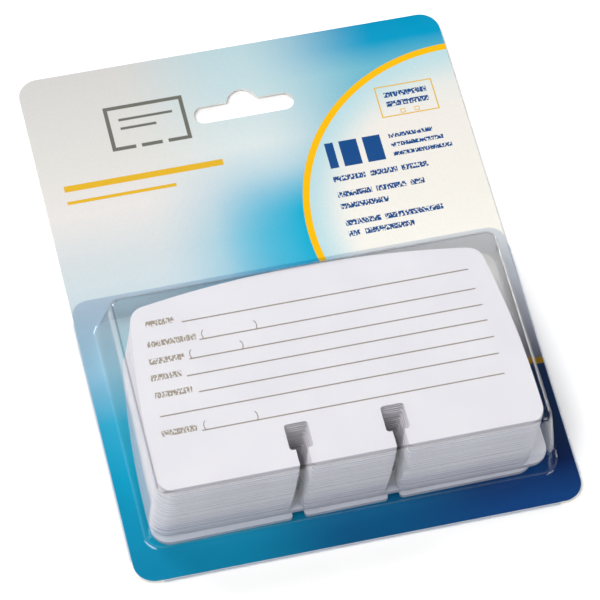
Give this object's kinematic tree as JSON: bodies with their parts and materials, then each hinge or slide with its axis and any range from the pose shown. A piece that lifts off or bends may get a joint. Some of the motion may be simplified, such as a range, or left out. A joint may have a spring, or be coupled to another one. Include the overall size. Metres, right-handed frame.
{
  "type": "refill card blister pack",
  "caption": "Hanging blister pack of ruled refill cards for a rotary card file: printed backing card, clear slide-on blister and a stack of loose slotted cards.",
  "frame": {"origin": "middle of the footprint, on the surface that the pack lies on", "axes": "+X across the pack, +Y up the backing card towards its hang hole, +Z out of its printed face"},
  "size_m": [0.12, 0.1548, 0.0223],
  "materials": {
    "board": "printed and varnished, semi-gloss",
    "clear_sheet": "clear formed sheet, glossy",
    "card_stock": "uncoated index stock, matt"
  },
  "bodies": {
    "backing": {"backing_card": "board"},
    "blister": {"blister": "clear_sheet"},
    "bottom_cards": {"card_pair_01": "card_stock", "card_pair_02": "card_stock", "card_pair_03": "card_stock"},
    "right_cards": {"card_pair_04": "card_stock", "card_pair_05": "card_stock", "card_pair_06": "card_stock", "card_pair_07": "card_stock"},
    "upper_cards": {"card_pair_08": "card_stock", "card_pair_09": "card_stock", "card_pair_10": "card_stock", "card_pair_11": "card_stock", "card_pair_12": "card_stock", "card_pair_13": "card_stock", "card_pair_14": "card_stock", "card_pair_15": "card_stock", "card_pair_16": "card_stock", "card_pair_17": "card_stock", "card_pair_18": "card_stock", "card_pair_19": "card_stock", "card_pair_20": "card_stock", "card_pair_21": "card_stock", "card_pair_22": "card_stock", "card_pair_23": "card_stock", "card_pair_24": "card_stock", "card_pair_25": "card_stock", "card_pair_26": "card_stock", "card_pair_27": "card_stock", "card_pair_28": "card_stock", "card_pair_29": "card_stock", "card_pair_30": "card_stock", "card_pair_31": "card_stock", "card_pair_32": "card_stock", "card_pair_33": "card_stock", "card_pair_34": "card_stock", "card_pair_35": "card_stock", "card_pair_36": "card_stock", "card_pair_37": "card_stock", "card_pair_38": "card_stock", "card_pair_39": "card_stock", "card_pair_40": "card_stock", "card_pair_41": "card_stock", "card_pair_42": "card_stock", "card_pair_43": "card_stock", "card_pair_44": "card_stock", "card_pair_45": "card_stock", "card_pair_46": "card_stock", "card_pair_47": "card_stock", "card_pair_48": "card_stock", "card_pair_49": "card_stock", "card_pair_50": "card_stock"}
  },
  "joints": [
    {"name": "blister_slide", "type": "slide", "parent": "backing", "child": "blister", "axis": [0, -1, 0], "range_m": [0, 0.09]},
    {"name": "bottom_cards_shift", "type": "slide", "parent": "blister", "child": "bottom_cards", "axis": [0, 1, 0], "range_m": [0, 0.005]},
    {"name": "right_cards_shift", "type": "slide", "parent": "blister", "child": "right_cards", "axis": [-1, 0, 0], "range_m": [0, 0.004]},
    {"name": "upper_cards_shift", "type": "slide", "parent": "blister", "child": "upper_cards", "axis": [1, 0, 0], "range_m": [0, 0.001]}
  ]
}
